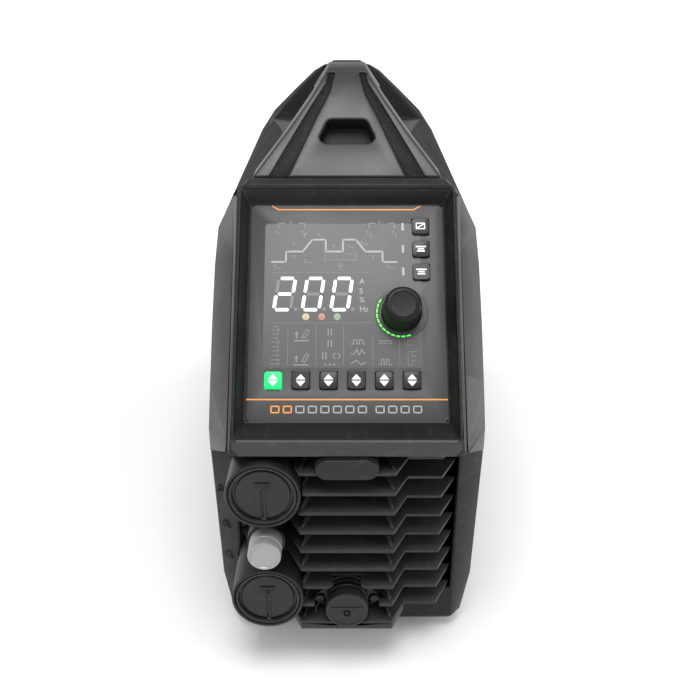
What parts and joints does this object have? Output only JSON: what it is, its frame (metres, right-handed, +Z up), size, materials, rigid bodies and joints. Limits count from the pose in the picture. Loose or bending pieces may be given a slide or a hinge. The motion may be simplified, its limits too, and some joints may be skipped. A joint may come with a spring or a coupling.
{
  "type": "TIG welding machine",
  "caption": "Compact upright TIG welding inverter with a leaning control panel, louvred front with current, gas and remote connectors, and a ridge-shaped carrying handle over its roof.",
  "frame": {"origin": "on the floor, under the middle of the machine's overall box", "axes": "+X to the right seen from the front, +Y towards the rear, +Z up"},
  "size_m": [0.203, 0.566, 0.4162],
  "materials": {
    "alu": "anodised",
    "black": "satin",
    "board": "glass-fibre board, solder mask",
    "brass": "turned",
    "can": "sleeved",
    "casing": "satin moulded plastic",
    "copper": "enamelled winding",
    "core": "ferrite",
    "grille": "satin moulded plastic",
    "inlay": "dark matt",
    "key": "semi-gloss",
    "knob": "soft-touch",
    "light": "lit",
    "nickel": "satin nickel",
    "panel": "satin film",
    "plate": "satin",
    "rubber": "moulded",
    "sheet": "textured powder coat",
    "steel": "zinc plated",
    "wire": "plated wire"
  },
  "bodies": {
    "machine": {"air_grille": "grille", "badge_plate": "plate", "base_tray": "sheet", "cable_gland": "black", "case_screws": "steel", "chassis_divider": "sheet", "circuit_boards": "board", "connector_plate": "black", "control_panel": "panel", "digit_display": "black", "encoder_body": "black", "encoder_shaft": "steel", "fan_frame": "black", "fan_guard": "wire", "front_hood": "casing", "gas_inlet_fitting": "brass", "gas_outlet_boss": "black", "gas_outlet_fitting": "nickel", "gas_valve": "black", "handle_front_leg": "casing", "handle_inlays": "inlay", "heat_sink": "alu", "key_switches": "black", "light_ring": "light", "lower_front_frame": "casing", "power_switch_frame": "black", "rating_plate": "plate", "rear_housing": "casing", "remote_contacts": "brass", "remote_flange_screws": "steel", "remote_socket": "black", "rubber_feet": "rubber", "side_panel_left": "sheet", "side_panel_right": "sheet", "smoothing_choke": "core", "socket_collar_lower": "black", "socket_collar_upper": "black", "socket_contact_lower": "brass", "socket_contact_upper": "brass", "socket_insulators": "black", "storage_capacitors": "can", "top_cover": "casing", "transformer_coil": "copper", "transformer_core": "core"},
    "mode_key_1_body": {"mode_key_1": "key"},
    "mode_key_2_body": {"mode_key_2": "key"},
    "mode_key_3_body": {"mode_key_3": "key"},
    "select_key_1_body": {"select_key_1": "key"},
    "select_key_2_body": {"select_key_2": "key"},
    "select_key_3_body": {"select_key_3": "key"},
    "select_key_4_body": {"select_key_4": "key"},
    "select_key_5_body": {"select_key_5": "key"},
    "select_key_6_body": {"select_key_6": "key"},
    "socket_cap_upper_body": {"socket_cap_upper": "black"},
    "socket_cap_lower_body": {"socket_cap_lower": "black"},
    "gas_outlet_cap_body": {"gas_outlet_cap": "nickel"},
    "remote_cap_body": {"remote_cap": "black"},
    "knob": {"control_knob": "knob"},
    "fan": {"fan_rotor": "black"},
    "rocker": {"power_rocker": "black"}
  },
  "joints": [
    {"name": "mode_key_1_press", "type": "slide", "parent": "machine", "child": "mode_key_1_body", "axis": [0, 0.7749, -0.632], "range_m": [0, 0.001], "stiffness_N_per_m": 500},
    {"name": "mode_key_2_press", "type": "slide", "parent": "machine", "child": "mode_key_2_body", "axis": [0, 0.7749, -0.632], "range_m": [0, 0.001], "stiffness_N_per_m": 500},
    {"name": "mode_key_3_press", "type": "slide", "parent": "machine", "child": "mode_key_3_body", "axis": [0, 0.7749, -0.632], "range_m": [0, 0.001], "stiffness_N_per_m": 500},
    {"name": "select_key_1_press", "type": "slide", "parent": "machine", "child": "select_key_1_body", "axis": [0, 0.7749, -0.632], "range_m": [0, 0.001], "stiffness_N_per_m": 500},
    {"name": "select_key_2_press", "type": "slide", "parent": "machine", "child": "select_key_2_body", "axis": [0, 0.7749, -0.632], "range_m": [0, 0.001], "stiffness_N_per_m": 500},
    {"name": "select_key_3_press", "type": "slide", "parent": "machine", "child": "select_key_3_body", "axis": [0, 0.7749, -0.632], "range_m": [0, 0.001], "stiffness_N_per_m": 500},
    {"name": "select_key_4_press", "type": "slide", "parent": "machine", "child": "select_key_4_body", "axis": [0, 0.7749, -0.632], "range_m": [0, 0.001], "stiffness_N_per_m": 500},
    {"name": "select_key_5_press", "type": "slide", "parent": "machine", "child": "select_key_5_body", "axis": [0, 0.7749, -0.632], "range_m": [0, 0.001], "stiffness_N_per_m": 500},
    {"name": "select_key_6_press", "type": "slide", "parent": "machine", "child": "select_key_6_body", "axis": [0, 0.7749, -0.632], "range_m": [0, 0.001], "stiffness_N_per_m": 500},
    {"name": "socket_cap_upper_pull", "type": "slide", "parent": "machine", "child": "socket_cap_upper_body", "axis": [0, -1, 0], "range_m": [0, 0.06]},
    {"name": "socket_cap_lower_pull", "type": "slide", "parent": "machine", "child": "socket_cap_lower_body", "axis": [0, -1, 0], "range_m": [0, 0.06]},
    {"name": "gas_outlet_cap_pull", "type": "slide", "parent": "machine", "child": "gas_outlet_cap_body", "axis": [0, -1, 0], "range_m": [0, 0.035]},
    {"name": "remote_cap_pull", "type": "slide", "parent": "machine", "child": "remote_cap_body", "axis": [0, -1, 0], "range_m": [0, 0.035]},
    {"name": "knob_turn", "type": "hinge", "parent": "machine", "child": "knob", "pos_m": [0.0384, -0.20363, 0.26815], "axis": [0, -0.7749, 0.632], "continuous": true},
    {"name": "fan_spin", "type": "hinge", "parent": "machine", "child": "fan", "pos_m": [0, 0.24, 0.186], "axis": [0, 1, 0], "continuous": true},
    {"name": "rocker_tilt", "type": "hinge", "parent": "machine", "child": "rocker", "pos_m": [0, 0.2624, 0.084], "axis": [1, 0, 0], "range_deg": [0, 18]}
  ]
}
